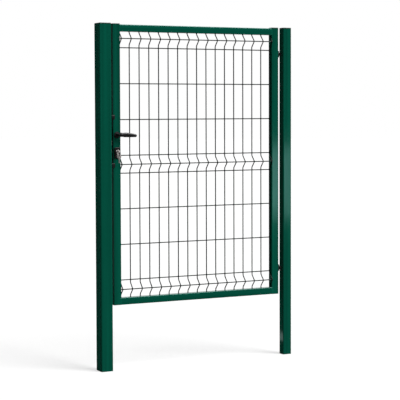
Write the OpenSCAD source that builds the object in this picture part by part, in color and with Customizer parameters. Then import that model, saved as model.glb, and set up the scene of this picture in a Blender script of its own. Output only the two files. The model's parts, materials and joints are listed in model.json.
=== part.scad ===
// Garden gate: a framed leaf with a folded wire panel, hung between two posts.
// The origin is the centre of the hinge post's foot, +Z is up and -Y is the front.

/* [Posts] */
// Height of both post tubes over the leaf's stiles
post_over = 1; // [0:1:300]
// Width of the hinge post, along the gate
hinge_post_w = 55; // [50:1:90]
// Depth of the hinge post
hinge_post_d = 50; // [46:1:90]
// Width of the latch post, along the gate
latch_post_w = 70; // [50:1:110]
// Depth of the latch post
latch_post_d = 80; // [60:1:110]
// Wall of both post tubes
post_wall = 2.5; // [1.5:0.1:5]
// Outer corner radius of both post tubes
post_r = 6; // [4:0.5:10]
// Thickness of the plate that closes each post's foot
foot_t = 3; // [2:0.5:8]

/* [Leaf frame] */
// Overall width of the leaf
leaf_w = 1056; // [700:1:1300]
// Height of the leaf's stile tubes
leaf_h = 1565; // [1200:1:1900]
// Height of the leaf's lower edge over the posts' feet
leaf_z = 365; // [60:1:600]
// Width of the stile tubes, along the gate
stile_w = 45; // [44:1:60]
// Depth of the stile tubes, and side of the square rail tubes
tube_s = 40; // [36:1:60]
// Wall of the frame tubes
tube_wall = 2; // [1.5:0.1:4]
// Outer corner radius of the frame tubes
tube_r = 4; // [3:0.5:8]

/* [Gaps beside the leaf] */
// Gap between the hinge post and the leaf
hinge_gap = 29.5; // [29:0.5:60]
// Gap between the latch post and the leaf
latch_gap = 16; // [16:1:24]

/* [Caps] */
// Height of a cap over its tube
cap_t = 6; // [3:0.5:12]
// Depth of a cap's plug inside its tube
plug_h = 18; // [8:1:40]
// Clearance between a plug and its tube
plug_gap = 0.3; // [0.1:0.1:1]

/* [Wire panel] */
// Wire diameter
wire_d = 6; // [3:0.5:8]
// Wanted spacing of the upright wires
wire_pitch = 60; // [40:1:80]
// Wanted spacing of the level wires between two folds
row_pitch = 200; // [120:1:260]
// Distance between the outer level wires of one fold
fold_h = 100; // [80:1:140]
// Height of the bent part of the upright wires in one fold
fold_span = 68; // [40:1:76]
// Depth of one fold
fold_d = 30; // [10:1:34]
// Height of the panel that the lower rail hides
lap_low = 3; // [0:1:30]
// Height of the panel that the upper rail hides
lap_high = 12; // [0:1:30]
// Clearance between the panel and the frame it is tacked to
tack_gap = 0.3; // [0.1:0.1:0.8]

/* [Hinges] */
// Distance of each hinge from the end of the stile
hinge_inset = 150; // [80:1:300]
// Radius of the hinge pin
pin_r = 5; // [4:0.5:6]
// Radial clearance of the pin in the eye
pin_gap = 0.05; // [0.02:0.01:0.1]
// Outer radius of the eye
eye_r = 9; // [8:0.5:9.5]
// Height of the eye
eye_h = 20; // [12:1:40]
// Gap over and under the eye
eye_gap = 0.7; // [0.3:0.1:2]
// Thickness of each lug of the leaf's bracket
lug_t = 7; // [4:0.5:12]
// Distance of the pin's axis from the stile
pin_x = 13; // [12:0.5:14]
// Thickness of the bracket's web on the stile
web_t = 3; // [2:0.5:3]
// Distance of the eye bolt's end past the post's near face
bolt_reach = 30; // [15:1:40]
// Width across the flats of the lock nut
nut_af = 17; // [15:0.5:22]
// Thickness of the lock nut
nut_t = 4.5; // [4:0.5:6]

/* [Lock] */
// Height of the lever's axis over the leaf's lower edge
lever_z = 952; // [500:1:1150]
// Distance from the lever's axis down to the key's axis
lock_centres = 92; // [80:1:110]
// Distance from the faceplate's face to the lever's and the key's axes
backset = 25; // [23:0.5:26]
// Length of the lever from its axis to its tip
lever_l = 105; // [80:1:140]
// Height of the lever's grip
grip_h = 26; // [18:1:30]
// Depth of the lever's grip
grip_d = 14; // [8:1:20]
// Distance from the stile's face to the middle of the grip
grip_y = 34; // [24:1:50]
// Radius of the lever's neck
neck_r = 8; // [7:0.5:10]
// Radius of the round rose behind the lever
rose_r = 18; // [13:0.5:18]
// Height of the key escutcheon
escutcheon_h = 62; // [54:1:70]
// Thickness of the rose and of the key escutcheon
rose_t = 7; // [4:0.5:12]
// Side of the square spindle
spindle_s = 8; // [6:0.5:9]
// Travel of the latch bolt
bolt_travel = 9; // [4:0.5:9]
// Length of the latch bolt past the faceplate
bolt_nose = 3.5; // [2:0.5:4]

/* [Keep] */
// Height of the keep on the latch post
keep_h = 292; // [180:1:400]
// Thickness of the keep's plate
keep_t = 5; // [4.5:0.5:6]
// Width of the keep's plate
keep_w = 44; // [34:1:60]
// Width of the channel for the bolt's nose
groove_w = 20; // [18:1:24]
// Depth of the channel for the bolt's nose
groove_d = 3; // [1:0.5:3.5]
// Height of the keep's middle over the latch bolt's
keep_rise = 10; // [-40:1:40]
// Thickness of each stop
stop_t = 8; // [4:0.5:12]
// Height of each stop at the keep's ends
stop_h = 24; // [12:1:60]
// Overlap of the stops in front of the leaf's stile
stop_lap = 5; // [4:1:15]
// Clearance between a stop and the closed leaf
stop_gap = 5; // [5:0.5:8]

/* [Keys] */
// Turn of the key in the closed lock, in degrees from upright
key_turn = 30; // [0:1:35]
// Length of the blade that shows between the cylinder and the bow
key_out = 2; // [1:0.5:10]
// Radius of a key's bow
bow_r = 13; // [9:0.5:14]
// Radius of the key ring
ring_r = 10; // [10:0.5:18]
// Twist of the spare key on the ring, in degrees
spare_twist = 45; // [0:1:45]

/* [Hidden] */
$fn = 48;
eps = 0.01;

green = [0.03, 0.30, 0.23];
black = [0.04, 0.04, 0.04];
zinc = [0.70, 0.71, 0.72];
nickel = [0.78, 0.76, 0.72];

// The leaf hangs on the -X side of the hinge post.
post_face = -hinge_post_w / 2;
leaf_right = post_face - hinge_gap;
leaf_left = leaf_right - leaf_w;
keep_face = leaf_left - latch_gap;
latch_post_x = keep_face - latch_post_w / 2;
hinge_stile_x = leaf_right - stile_w / 2;
latch_stile_x = leaf_left + stile_w / 2;
leaf_top = leaf_z + leaf_h;
post_h = leaf_top + post_over;

// Opening inside the leaf's frame
open_left = leaf_left + stile_w;
open_right = leaf_right - stile_w;
open_w = open_right - open_left;
open_low = leaf_z + tube_s;
open_high = leaf_top - tube_s;

// The wires are drawn as square bars with the section of the round wire.
wire_s = wire_d * sqrt(PI) / 2;
wire_gaps = round(open_w / wire_pitch);
wire_step = (open_w - wire_s - 2 * tack_gap) / wire_gaps;
panel_low = open_low - lap_low;
panel_high = open_high + lap_high;
folds = 3;
flat_h = (panel_high - panel_low - folds * fold_h) / (folds - 1);
flat_rows = round(flat_h / row_pitch);
weld_y = 0.85 * wire_s;

// Hinge axis: the eye's rim ends flush with the leaf's back face.
axis_x = leaf_right + pin_x;
lug_r = eye_r - 0.5;
axis_y = tube_s / 2 - lug_r;
hinge_zs = [leaf_top - hinge_inset, leaf_z + hinge_inset];
lug_z = eye_h / 2 + eye_gap;
head_r = pin_r + 3;
head_t = 2.5;
fit_gap = 0.1;

// Lock
plate_t = 2.5;
lock_x = leaf_left - plate_t + backset;
spindle_z = leaf_z + lever_z;
key_z = spindle_z - lock_centres;
latch_z = (spindle_z + key_z) / 2;
case_gap = 0.5;
case_w = 22;
case_x0 = leaf_left + 0.5;
case_x1 = open_left - tube_wall - case_gap;
case_low = key_z - 36;
case_high = spindle_z + 26;
plate_w = 20;
plate_over = 14;
latch_w = 15;
latch_h = 27;
latch_gap_y = 0.5;
latch_back = leaf_left + 21;
face_y = tube_s / 2;

// Keep
keep_low = latch_z + keep_rise - keep_h / 2;

// Euro-profile cylinder
barrel_r = 8.5;
barrel_foot_r = 5;
barrel_h = 33;
barrel_out = 2;
barrel_y = face_y + rose_t + barrel_out;
barrel_gap = 0.2;
plug_r = 6.5;
plug_back = 6;

// Keys
key_t = 2.2;
blade_h = 8;
bow_y = barrel_y + key_out + bow_r;
eyelet_r = 4;
eyelet_rim = 2.5;
eyelet_y = bow_y + bow_r - eyelet_r - eyelet_rim;
ring_wire_r = 0.9;
ring_drop = 0.6;
ring_z = key_z - ring_drop - ring_r;
spare_r = bow_r - 1;
spare_blade = 25;
rest_gap = 0.8;
spare_eyelet_z = ring_z - ring_r - (eyelet_r - ring_wire_r - rest_gap);

module rounded_plate(w, h, r) {
    union() {
        square([w - 2 * r, h], center = true);
        square([w, h - 2 * r], center = true);
        for (x = [-1, 1], y = [-1, 1])
            translate([x * (w / 2 - r), y * (h / 2 - r)]) circle(r);
    }
}

module tube(w, d, wall, r, h) {
    linear_extrude(h)
        difference() {
            rounded_plate(w, d, r);
            rounded_plate(w - 2 * wall, d - 2 * wall, r - wall);
        }
}

// Cap with the tube's outline, a bevelled top and a hollow plug that stands in the tube
module tube_cap(w, d, wall, r) {
    bevel = cap_t / 2;
    top_r = max(r - bevel, r / 4);
    hull($fn = 32) {
        linear_extrude(cap_t - bevel) rounded_plate(w, d, r);
        linear_extrude(cap_t) rounded_plate(w - 2 * bevel, d - 2 * bevel, top_r);
    }
    plug_w = w - 2 * wall - 2 * plug_gap;
    plug_d = d - 2 * wall - 2 * plug_gap;
    translate([0, 0, -plug_h])
        linear_extrude(plug_h)
            difference() {
                rounded_plate(plug_w, plug_d, r - wall);
                square([plug_w - 4, plug_d - 4], center = true);
            }
}

module along_y(x, z, y0, y1, r) {
    translate([x, y0, z]) rotate([-90, 0, 0]) cylinder(r = r, h = y1 - y0);
}

module along_x(y, z, x0, x1, r) {
    translate([x0, y, z]) rotate([0, 90, 0]) cylinder(r = r, h = x1 - x0);
}

// ---- Posts ----

module post(w, d) {
    tube(w, d, post_wall, post_r, post_h);
    linear_extrude(foot_t) rounded_plate(w, d, post_r);
}

module hinge_post() {
    color(green)
        difference() {
            post(hinge_post_w, hinge_post_d);
            for (z = hinge_zs)
                along_x(axis_y, z, post_face - 1, post_face + post_wall + 1, pin_r + fit_gap);
        }
}

module latch_post() {
    color(green) translate([latch_post_x, 0, 0]) post(latch_post_w, latch_post_d);
}

module hinge_post_cap() {
    color(black)
        translate([0, 0, post_h])
            tube_cap(hinge_post_w, hinge_post_d, post_wall, post_r);
}

module latch_post_cap() {
    color(black)
        translate([latch_post_x, 0, post_h])
            tube_cap(latch_post_w, latch_post_d, post_wall, post_r);
}

// Surface-mounted keep: a plate with a rib along each side, between which the bolt's nose goes
module keep() {
    color(black)
        translate([keep_face, -keep_w / 2, keep_low]) cube([keep_t - groove_d, keep_w, keep_h]);
}

module keep_rib(y) {
    color(black)
        translate([keep_face + keep_t - groove_d, y, keep_low])
            cube([groove_d, (keep_w - groove_w) / 2, keep_h]);
}

// L-shaped stop on the post, whose arm reaches in front of the closed leaf
module stop(z) {
    stop_y = face_y + stop_gap + stop_t;
    color(black)
        translate([keep_face, -stop_y, z])
            union() {
                cube([keep_t, stop_y - keep_w / 2, stop_h]);
                cube([latch_gap + stop_lap, stop_t, stop_h]);
            }
}

module keep_front_rib() { keep_rib(-keep_w / 2); }
module keep_back_rib() { keep_rib(groove_w / 2); }
module upper_stop() { stop(keep_low + keep_h - stop_h); }
module lower_stop() { stop(keep_low); }

module eye_bolt(z) {
    color(black)
        difference() {
            union() {
                translate([axis_x, axis_y, z - eye_h / 2]) cylinder(r = eye_r, h = eye_h);
                along_x(axis_y, z, axis_x, post_face + bolt_reach, pin_r);
            }
            translate([axis_x, axis_y, z - eye_h / 2 - 1])
                cylinder(r = pin_r + pin_gap, h = eye_h + 2);
        }
}

module lock_nut(z) {
    color(black)
        difference() {
            translate([post_face - nut_t, axis_y, z])
                rotate([0, 90, 0])
                    cylinder(d = nut_af / cos(30), h = nut_t, $fn = 6);
            along_x(axis_y, z, post_face - nut_t - 1, post_face + 1, pin_r + fit_gap);
        }
}

module upper_eye_bolt() { eye_bolt(hinge_zs[0]); }
module lower_eye_bolt() { eye_bolt(hinge_zs[1]); }
module upper_lock_nut() { lock_nut(hinge_zs[0]); }
module lower_lock_nut() { lock_nut(hinge_zs[1]); }

// ---- Leaf ----

module hinge_stile() {
    color(green)
        translate([hinge_stile_x, 0, leaf_z]) tube(stile_w, tube_s, tube_wall, tube_r, leaf_h);
}

// The latch stile is cut out for the lock case, the spindle and the cylinder.
module latch_stile() {
    color(green)
        difference() {
            translate([latch_stile_x, 0, leaf_z])
                tube(stile_w, tube_s, tube_wall, tube_r, leaf_h);
            translate([leaf_left - 1, -case_w / 2 - case_gap, case_low - case_gap])
                cube([tube_wall + 2, case_w + 2 * case_gap, case_high - case_low + 2 * case_gap]);
            along_y(lock_x, spindle_z, -face_y - 1, face_y + 1, spindle_s);
            translate([lock_x, face_y + 1, key_z])
                rotate([90, 0, 0])
                    linear_extrude(tube_s + 2) barrel_outline(barrel_gap);
        }
}

module rail(z) {
    color(green)
        translate([open_left, 0, z + tube_s / 2])
            rotate([0, 90, 0]) tube(tube_s, tube_s, tube_wall, tube_r, open_w);
}

module top_rail() { rail(leaf_top - tube_s); }
module bottom_rail() { rail(leaf_z); }

module hinge_stile_cap() {
    color(black)
        translate([hinge_stile_x, 0, leaf_top])
            tube_cap(stile_w, tube_s, tube_wall, tube_r);
}

module latch_stile_cap() {
    color(black)
        translate([latch_stile_x, 0, leaf_top])
            tube_cap(stile_w, tube_s, tube_wall, tube_r);
}

function fold_base(i) = panel_low + i * (fold_h + flat_h);

// Course of an upright wire, as [y, z] points from its foot to its top
bends = [[0, (fold_h - fold_span) / 2], [-fold_d, fold_h / 2], [0, (fold_h + fold_span) / 2]];
wire_course = concat([[0, panel_low]],
                     [for (i = [0:folds - 1], p = bends) [p[0], fold_base(i) + p[1]]],
                     [[0, panel_high]]);

// Level wires: three on each fold, and the even rows between two folds
fold_levels = [for (i = [0:folds - 1], p = [[0, 0], [-fold_d, fold_h / 2], [0, fold_h]])
               [p[0], fold_base(i) + p[1]]];
flat_levels = [for (i = [0:folds - 2], k = [1:flat_rows - 1])
               [0, fold_base(i) + fold_h + k * flat_h / flat_rows]];

module upright_wire() {
    outline = concat([for (p = wire_course) [p[0] - wire_s / 2, p[1]]],
                     [for (i = [len(wire_course) - 1:-1:0])
                      [wire_course[i][0] + wire_s / 2, wire_course[i][1]]]);
    rotate([90, 0, 90])
        linear_extrude(wire_s)
            intersection() {
                polygon(outline);
                translate([-fold_d - wire_s, open_low + tack_gap])
                    square([fold_d + 2 * wire_s, open_high - open_low - 2 * tack_gap]);
            }
}

module mesh_panel() {
    first_x = open_left + tack_gap;
    color(green)
        union() {
            for (i = [0:wire_gaps])
                translate([first_x + i * wire_step, 0, 0]) upright_wire();
            for (p = concat(fold_levels, flat_levels))
                if (p[1] > open_low + wire_s && p[1] < open_high - wire_s)
                    translate([first_x, p[0] + weld_y - wire_s / 2, p[1] - wire_s / 2])
                        cube([open_w - 2 * tack_gap, wire_s, wire_s]);
        }
}

// U-shaped bracket: a web on the stile and a lug over and under the eye
module hinge_bracket(z) {
    bracket_h = 2 * (lug_z + lug_t);
    color(black)
        difference() {
            union() {
                translate([leaf_right, axis_y - lug_r, z - bracket_h / 2])
                    cube([web_t, 2 * lug_r, bracket_h]);
                for (z0 = [z - bracket_h / 2, z + lug_z]) {
                    translate([leaf_right, axis_y - lug_r, z0]) cube([pin_x, 2 * lug_r, lug_t]);
                    translate([axis_x, axis_y, z0]) cylinder(r = lug_r, h = lug_t);
                }
            }
            translate([axis_x, axis_y, z - bracket_h / 2 - 1])
                cylinder(r = pin_r + fit_gap, h = bracket_h + 2);
        }
}

module hinge_pin(z) {
    pin_top = z + lug_z + lug_t;
    color(black)
        translate([axis_x, axis_y, 0])
            union() {
                translate([0, 0, z - lug_z - lug_t])
                    cylinder(r = pin_r, h = 2 * (lug_z + lug_t) + eps);
                translate([0, 0, pin_top]) cylinder(r = head_r, h = head_t);
            }
}

module upper_hinge_bracket() { hinge_bracket(hinge_zs[0]); }
module lower_hinge_bracket() { hinge_bracket(hinge_zs[1]); }
module upper_hinge_pin() { hinge_pin(hinge_zs[0]); }
module lower_hinge_pin() { hinge_pin(hinge_zs[1]); }

// ---- Lock ----

module barrel_outline(gap) {
    foot_y = barrel_r + barrel_foot_r - barrel_h;
    union() {
        circle(barrel_r + gap);
        translate([-barrel_foot_r - gap, foot_y])
            square([2 * (barrel_foot_r + gap), -foot_y]);
        translate([0, foot_y]) circle(barrel_foot_r + gap);
    }
}

module lock_case() {
    color(zinc)
        difference() {
            translate([case_x0, -case_w / 2, case_low])
                cube([case_x1 - case_x0, case_w, case_high - case_low]);
            along_y(lock_x, spindle_z, -case_w, case_w, spindle_s * 0.75);
            translate([lock_x, case_w, key_z])
                rotate([90, 0, 0]) linear_extrude(2 * case_w) barrel_outline(barrel_gap);
            translate([case_x0 - 1, -latch_w / 2 - latch_gap_y, latch_z - latch_h / 2 - latch_gap_y])
                cube([latch_back + bolt_travel + 2 - case_x0,
                      latch_w + 2 * latch_gap_y, latch_h + 2 * latch_gap_y]);
        }
}

module lock_faceplate() {
    color(black)
        difference() {
            translate([leaf_left - plate_t, -plate_w / 2, case_low - plate_over])
                cube([plate_t, plate_w, case_high - case_low + 2 * plate_over]);
            translate([leaf_left - plate_t - 1, -latch_w / 2 - latch_gap_y,
                       latch_z - latch_h / 2 - latch_gap_y])
                cube([plate_t + 2, latch_w + 2 * latch_gap_y, latch_h + 2 * latch_gap_y]);
        }
}

module lever_rose(side) {
    y0 = side > 0 ? face_y : -face_y - rose_t;
    color(black)
        difference() {
            along_y(lock_x, spindle_z, y0, y0 + rose_t, rose_r);
            along_y(lock_x, spindle_z, y0 - 1, y0 + rose_t + 1, neck_r + pin_gap);
        }
}

module key_escutcheon(side) {
    plate_y = side > 0 ? face_y + rose_t : -face_y;
    drop = (barrel_h - 2 * barrel_r) / 2;
    color(black)
        translate([lock_x, plate_y, key_z])
            rotate([90, 0, 0])
                linear_extrude(rose_t)
                    difference() {
                        translate([0, -drop]) rounded_plate(2 * rose_r, escutcheon_h, 8);
                        barrel_outline(barrel_gap);
                    }
}

module lever_rose_front() { lever_rose(-1); }
module lever_rose_back() { lever_rose(1); }
module key_escutcheon_front() { key_escutcheon(-1); }
module key_escutcheon_back() { key_escutcheon(1); }

module lock_cylinder() {
    color(nickel)
        difference() {
            translate([lock_x, barrel_y, key_z])
                rotate([90, 0, 0]) linear_extrude(2 * barrel_y) barrel_outline(0);
            along_y(lock_x, key_z, -barrel_y - 1, -plug_back + pin_gap, plug_r + pin_gap);
        }
}

// ---- Handle ----

// Lever for the front (side -1) or the back (side 1), pointing away from the latch post.
// Its lower edge is level from the thick part to the tip.
module lever(side) {
    neck_len = grip_y - 2;
    tip_r = grip_h * 0.32;
    color(black)
        translate([lock_x, side * (face_y + 1), spindle_z])
            difference() {
                union() {
                    rotate([-90 * side, 0, 0]) cylinder(r = neck_r, h = neck_len);
                    translate([0, side * grip_y, 0])
                        hull() {
                            for (p = [[0, 0, neck_r + 2], [lever_l * 0.35, 0, grip_h / 2],
                                      [lever_l - tip_r, tip_r - grip_h / 2, tip_r]])
                                translate([p[0], grip_d / 2, p[1]])
                                    rotate([90, 0, 0]) cylinder(r = p[2], h = grip_d, $fn = 32);
                        }
                }
                translate([0, side * 10, 0])
                    cube([spindle_s + 2 * fit_gap, 24, spindle_s + 2 * fit_gap], center = true);
            }
}

module front_lever() { lever(-1); }
module back_lever() { lever(1); }

module spindle() {
    spindle_l = 2 * (face_y + 20);
    color(zinc)
        translate([lock_x, 0, spindle_z])
            cube([spindle_s, spindle_l, spindle_s], center = true);
}

module latch_bolt() {
    color(nickel)
        translate([leaf_left - plate_t - bolt_nose, -latch_w / 2, latch_z - latch_h / 2])
            cube([latch_back - leaf_left + plate_t + bolt_nose, latch_w, latch_h]);
}

// ---- Keys ----

module key_plug() {
    color(nickel)
        along_y(lock_x, key_z, -barrel_y - 0.5, -plug_back, plug_r);
}

// Flat key in its own plane: the bow's centre at the origin, the blade along +X
module key_outline(r, blade_l) {
    difference() {
        union() {
            circle(r);
            translate([0, -blade_h / 2]) square([r + blade_l, blade_h]);
        }
        translate([eyelet_rim + eyelet_r - r, 0]) circle(eyelet_r);
    }
}

module key() {
    blade_l = bow_y - bow_r - barrel_y - 0.5;
    color(nickel)
        translate([lock_x, -bow_y, key_z])
            rotate([0, -key_turn, 0])
                translate([-key_t / 2, 0, 0])
                    rotate([90, 0, 90]) linear_extrude(key_t) key_outline(bow_r, blade_l);
}

module key_ring() {
    color(zinc)
        translate([lock_x, -eyelet_y, ring_z])
            rotate([90, 0, 0])
                rotate_extrude() translate([ring_r, 0]) circle(ring_wire_r, $fn = 16);
}

module spare_key() {
    color(nickel)
        translate([lock_x, -eyelet_y, spare_eyelet_z - spare_r + eyelet_r + eyelet_rim])
            rotate([0, 0, spare_twist])
                translate([-key_t / 2, 0, 0])
                    rotate([90, 90, 90]) linear_extrude(key_t) key_outline(spare_r, spare_blade);
}

hinge_post();
latch_post();
hinge_post_cap();
latch_post_cap();
keep();
keep_front_rib();
keep_back_rib();
upper_stop();
lower_stop();
upper_eye_bolt();
lower_eye_bolt();
upper_lock_nut();
lower_lock_nut();
hinge_stile();
latch_stile();
top_rail();
bottom_rail();
mesh_panel();
hinge_stile_cap();
latch_stile_cap();
upper_hinge_bracket();
lower_hinge_bracket();
upper_hinge_pin();
lower_hinge_pin();
lock_case();
lock_faceplate();
lever_rose_front();
lever_rose_back();
key_escutcheon_front();
key_escutcheon_back();
lock_cylinder();
front_lever();
back_lever();
spindle();
latch_bolt();
key_plug();
key();
key_ring();
spare_key();
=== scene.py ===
"""Looks of the pedestrian gate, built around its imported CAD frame.

All lengths are in metres in the frame's own axes: +Z is up, -Y is the front, and the origin
is the centre of the hinge post's foot. Places come from the CAD nodes' boxes and joints.
"""
import json
import math

import bmesh
import bpy
from mathutils import Matrix, Vector
from mathutils.geometry import tessellate_polygon

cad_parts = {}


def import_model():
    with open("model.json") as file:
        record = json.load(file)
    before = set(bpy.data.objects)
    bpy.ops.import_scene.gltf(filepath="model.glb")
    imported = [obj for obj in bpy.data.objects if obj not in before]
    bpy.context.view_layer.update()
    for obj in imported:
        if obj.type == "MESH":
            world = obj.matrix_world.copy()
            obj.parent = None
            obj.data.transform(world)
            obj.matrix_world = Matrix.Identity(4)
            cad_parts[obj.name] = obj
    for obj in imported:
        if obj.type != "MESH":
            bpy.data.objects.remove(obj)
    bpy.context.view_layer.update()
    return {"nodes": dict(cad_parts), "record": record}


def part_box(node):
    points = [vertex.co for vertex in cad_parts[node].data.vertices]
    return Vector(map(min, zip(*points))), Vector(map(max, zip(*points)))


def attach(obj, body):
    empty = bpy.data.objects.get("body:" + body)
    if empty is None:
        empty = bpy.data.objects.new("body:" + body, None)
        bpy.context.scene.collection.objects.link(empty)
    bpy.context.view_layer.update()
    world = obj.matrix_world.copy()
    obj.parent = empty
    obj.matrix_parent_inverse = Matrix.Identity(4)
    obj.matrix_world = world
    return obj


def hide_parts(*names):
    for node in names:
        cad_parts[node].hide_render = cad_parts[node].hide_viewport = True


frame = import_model()

TAU = 2 * math.pi
MM = 0.001
X, Y, Z = Vector((1, 0, 0)), Vector((0, 1, 0)), Vector((0, 0, 1))


# ---------------- mesh helpers
# A part is (vertices, faces). Parts are made, placed, joined, and turned into one piece that
# rides on a body. Outlines run counterclockwise.

def joined(*parts):
    vertices, faces = [], []
    for part_vertices, part_faces in parts:
        base = len(vertices)
        vertices += part_vertices
        faces += [[base + i for i in face] for face in part_faces]
    return vertices, faces


def placed(part, matrix):
    """Part moved by a matrix. A mirroring matrix also turns the faces round."""
    flip = matrix.determinant() < 0
    faces = [face[::-1] for face in part[1]] if flip else part[1]
    return [matrix @ v for v in part[0]], faces


def axes(origin, x_axis, y_axis, z_axis):
    """Matrix that carries local axes onto three given directions at an origin."""
    columns = Matrix((x_axis, y_axis, z_axis)).transposed().to_4x4()
    return Matrix.Translation(Vector(origin)) @ columns


def angles(count):
    return [TAU * k / count for k in range(count)]


def polar(radius, angle, height):
    return Vector((radius * math.cos(angle), radius * math.sin(angle), height))


def hexagon_radius(half_flats, angle):
    """Distance from a hexagon's centre to its side."""
    return half_flats / math.cos((angle + math.pi / 6) % (math.pi / 3) - math.pi / 6)


def from_bmesh(bm):
    """Part with a bmesh's shape."""
    bm.verts.ensure_lookup_table()
    part = ([v.co.copy() for v in bm.verts], [[v.index for v in f.verts] for f in bm.faces])
    bm.free()
    return part


def quads(low, high, count):
    """Faces between two rings of vertices, whose first vertices are low and high."""
    return [[low + i, low + (i + 1) % count, high + (i + 1) % count, high + i] for i in range(count)]


def loft(rings, closed=False):
    """Skin over rings of the same length, each counterclockwise seen from the far end. When
    closed, the last ring meets the first. Otherwise both ends are capped."""
    count = len(rings[0])
    vertices = [Vector(v) for ring in rings for v in ring]
    faces = []
    spans = len(rings) if closed else len(rings) - 1
    for k in range(spans):
        faces += quads(k * count, (k + 1) % len(rings) * count, count)
    if not closed:
        faces.append(list(range(count))[::-1])
        faces.append([(len(rings) - 1) * count + i for i in range(count)])
    return vertices, faces


def sweep(path, radius, sides, across, closed=False):
    """Round bar along a path. radius is a number or a function of the point's index."""
    rings = []
    last = len(path) - 1
    for i, point in enumerate(path):
        before = path[i - 1] if i > 0 or closed else point
        after = path[(i + 1) % len(path)] if i < last or closed else point
        tangent = (Vector(after) - Vector(before)).normalized()
        u = (across - across.dot(tangent) * tangent).normalized()
        v = tangent.cross(u)
        r = radius(i) if callable(radius) else radius
        rings.append([Vector(point) + r * (math.cos(a) * u + math.sin(a) * v) for a in angles(sides)])
    return loft(rings, closed=closed)


def lathe(profile, sides):
    """Solid of revolution about local Z from (radius, height) points, bottom to top."""
    return loft([[polar(r, a, h) for a in angles(sides)] for r, h in profile])


def ring_lathe(profile, sides=48):
    """Hollow solid of revolution about local Z from a closed (radius, height) loop."""
    return loft([[polar(r, a, h) for r, h in profile] for a in angles(sides)], closed=True)


def arc(centre, radius, start, end, steps):
    """Points of an arc, angles in degrees."""
    turns = (math.radians(start + (end - start) * k / steps) for k in range(steps + 1))
    return [(centre[0] + radius * math.cos(a), centre[1] + radius * math.sin(a)) for a in turns]


def circle(radius, count=48, centre=(0, 0)):
    return arc(centre, radius, 0, 360, count)[:-1]


def rounded_rectangle(width, height, radius, centre=(0, 0), steps=6):
    w, h = width / 2 - radius, height / 2 - radius
    corners = [(w, h, 0), (-w, h, 90), (-w, -h, 180), (w, -h, 270)]
    return [p for x, y, a in corners
            for p in arc((centre[0] + x, centre[1] + y), radius, a, a + 90, steps)]


def inset(outline, distance):
    """Outline moved towards its left side, which is where the material is."""
    moved = []
    for i, (x, y) in enumerate(outline):
        (x0, y0), (x1, y1) = outline[i - 1], outline[(i + 1) % len(outline)]
        a, b = Vector((x - x0, y - y0)), Vector((x1 - x, y1 - y))
        a = a.normalized() if a.length > 1e-9 else b.normalized()
        b = b.normalized() if b.length > 1e-9 else a
        normal = Vector((-a.y - b.y, a.x + b.x)).normalized()
        share = max(0.5, normal.dot(Vector((-a.y, a.x))))
        moved.append((x + normal.x * distance / share, y + normal.y * distance / share))
    return moved


def plate(outlines, thickness, edge, steps=3):
    """Plate on local XY, centred on Z, with rounded edges. The first outline runs
    counterclockwise and is the rim, the others run clockwise and are holes."""
    bottom = []
    for k in range(steps + 1):
        a = math.radians(90 * k / steps)
        bottom.append((-thickness / 2 + edge * (1 - math.cos(a)), edge * (1 - math.sin(a))))
    heights = bottom + [(-z, d) for z, d in reversed(bottom)]
    vertices, faces, flat_low, flat_high = [], [], [], []
    for outline in outlines:
        base, count = len(vertices), len(outline)
        for z, d in heights:
            vertices += [Vector((x, y, z)) for x, y in inset(outline, d)]
        for k in range(len(heights) - 1):
            faces += quads(base + k * count, base + (k + 1) * count, count)
        flat_low.append(list(range(base, base + count)))
        top_base = base + (len(heights) - 1) * count
        flat_high.append(list(range(top_base, top_base + count)))
    for loops, up in ((flat_low, False), (flat_high, True)):
        index = [i for loop in loops for i in loop]
        triangles = tessellate_polygon([[vertices[i] for i in loop] for loop in loops])
        for triangle in triangles:
            a, b, c = (index[i] for i in triangle)
            normal = (vertices[b] - vertices[a]).cross(vertices[c] - vertices[a])
            faces.append([a, b, c] if (normal.z > 0) == up else [a, c, b])
    return vertices, faces


def block(low, high, edge, segments=2):
    """Box with rounded edges."""
    bm = bmesh.new()
    bmesh.ops.create_cube(bm, size=1)
    size, middle = Vector(high) - Vector(low), (Vector(high) + Vector(low)) / 2
    for v in bm.verts:
        v.co = Vector(a * b for a, b in zip(v.co, size)) + middle
    bmesh.ops.bevel(bm, geom=bm.edges[:], offset=edge, segments=segments, profile=0.5, affect="EDGES")
    return from_bmesh(bm)


def rounded_path(corners, radii, steps=5):
    """Polyline through corner points, each corner rounded with its own radius."""
    path = [Vector(corners[0])]
    for i in range(1, len(corners) - 1):
        before, corner, after = (Vector(corners[i + k]) for k in (-1, 0, 1))
        a, b = (before - corner).normalized(), (after - corner).normalized()
        half = a.angle(b) / 2
        reach = radii[i] / math.tan(half)
        centre = corner + (a + b).normalized() * (radii[i] / math.sin(half))
        start, end = corner + a * reach - centre, corner + b * reach - centre
        turn = start.angle(end)
        for k in range(steps + 1):
            t = k / steps
            path.append(centre + (math.sin((1 - t) * turn) * start
                                  + math.sin(t * turn) * end) / math.sin(turn))
    path.append(Vector(corners[-1]))
    return path


def bead(start, end, radius, pitch=2.2 * MM):
    """Run of weld: a bar whose thickness ripples and fades out at both ends."""
    start, end = Vector(start), Vector(end)
    length = (end - start).length
    count = max(8, round(length / pitch) * 4)
    across = X if abs((end - start).normalized().dot(X)) < 0.7 else Z

    def thickness(i):
        along = i / count
        fade = min(1, 6 * min(along, 1 - along) + 0.35)
        return radius * fade * (1 + 0.09 * math.sin(TAU * along * length / pitch))

    path = [start.lerp(end, i / count) for i in range(count + 1)]
    return sweep(path, thickness, 10, across)


def linked(name, data):
    """New object in the scene."""
    thing = bpy.data.objects.new(name, data)
    bpy.context.scene.collection.objects.link(thing)
    return thing


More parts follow.
